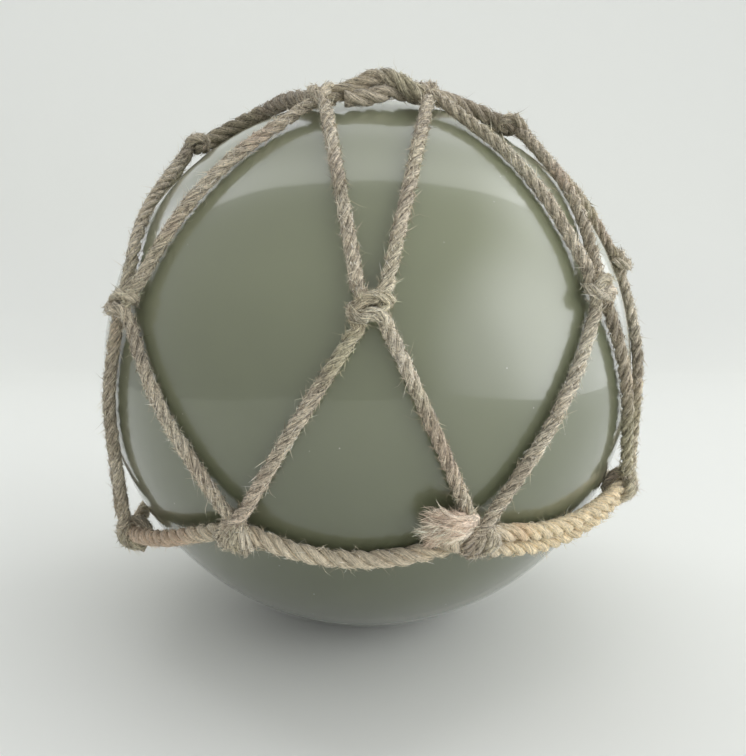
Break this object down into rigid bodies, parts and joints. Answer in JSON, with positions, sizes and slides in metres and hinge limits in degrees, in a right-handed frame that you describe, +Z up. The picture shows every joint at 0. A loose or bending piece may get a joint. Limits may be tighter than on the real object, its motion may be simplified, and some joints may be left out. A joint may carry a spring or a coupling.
{
  "type": "glass fishing float in a rope net",
  "caption": "Sealed ball of thick sea-green glass, held in a knotted net of aged hemp rope between a crown ring and a girdle ring.",
  "frame": {"origin": "middle of the small flat spot that the ball stands on", "axes": "+Z up through the middle of the ball, front towards -Y"},
  "size_m": [0.3115, 0.3104, 0.3027],
  "materials": {
    "glass": "hand-blown thick glass, hazy grey-green, glossy, with ripples, seeds and dust",
    "mesh_cord": "aged three-strand hemp cord, grey-beige, fuzzy, with dark flecks",
    "crown_rope": "aged three-strand hemp rope, weathered grey, fuzzy",
    "girdle_rope": "three-strand hemp rope, pale cream to yellow, strands showing"
  },
  "bodies": {
    "root": {"glass_ball": "glass", "crown_ring": "crown_rope", "girdle_ring": "girdle_rope", "upper_cord_1_left": "mesh_cord", "lower_cord_1_left": "mesh_cord", "upper_cord_1_right": "mesh_cord", "lower_cord_1_right": "mesh_cord", "upper_cord_2_left": "mesh_cord", "lower_cord_2_left": "mesh_cord", "upper_cord_2_right": "mesh_cord", "lower_cord_2_right": "mesh_cord", "upper_cord_3_left": "mesh_cord", "lower_cord_3_left": "mesh_cord", "upper_cord_3_right": "mesh_cord", "lower_cord_3_right": "mesh_cord", "upper_cord_4_left": "mesh_cord", "lower_cord_4_left": "mesh_cord", "upper_cord_4_right": "mesh_cord", "lower_cord_4_right": "mesh_cord", "upper_cord_5_left": "mesh_cord", "lower_cord_5_left": "mesh_cord", "upper_cord_5_right": "mesh_cord", "lower_cord_5_right": "mesh_cord", "upper_cord_6_left": "mesh_cord", "lower_cord_6_left": "mesh_cord", "upper_cord_6_right": "mesh_cord", "lower_cord_6_right": "mesh_cord", "upper_cord_7_left": "mesh_cord", "lower_cord_7_left": "mesh_cord", "upper_cord_7_right": "mesh_cord", "lower_cord_7_right": "mesh_cord", "upper_cord_8_left": "mesh_cord", "lower_cord_8_left": "mesh_cord", "upper_cord_8_right": "mesh_cord", "lower_cord_8_right": "mesh_cord", "crown_hitch_1": "mesh_cord", "mesh_knot_1": "mesh_cord", "girdle_hitch_1": "mesh_cord", "crown_hitch_2": "mesh_cord", "mesh_knot_2": "mesh_cord", "girdle_hitch_2": "mesh_cord", "crown_hitch_3": "mesh_cord", "mesh_knot_3": "mesh_cord", "girdle_hitch_3": "mesh_cord", "crown_hitch_4": "mesh_cord", "mesh_knot_4": "mesh_cord", "girdle_hitch_4": "mesh_cord", "crown_hitch_5": "mesh_cord", "mesh_knot_5": "mesh_cord", "girdle_hitch_5": "mesh_cord", "crown_hitch_6": "mesh_cord", "mesh_knot_6": "mesh_cord", "girdle_hitch_6": "mesh_cord", "crown_hitch_7": "mesh_cord", "mesh_knot_7": "mesh_cord", "girdle_hitch_7": "mesh_cord", "crown_hitch_8": "mesh_cord", "mesh_knot_8": "mesh_cord", "girdle_hitch_8": "mesh_cord"}
  },
  "joints": []
}
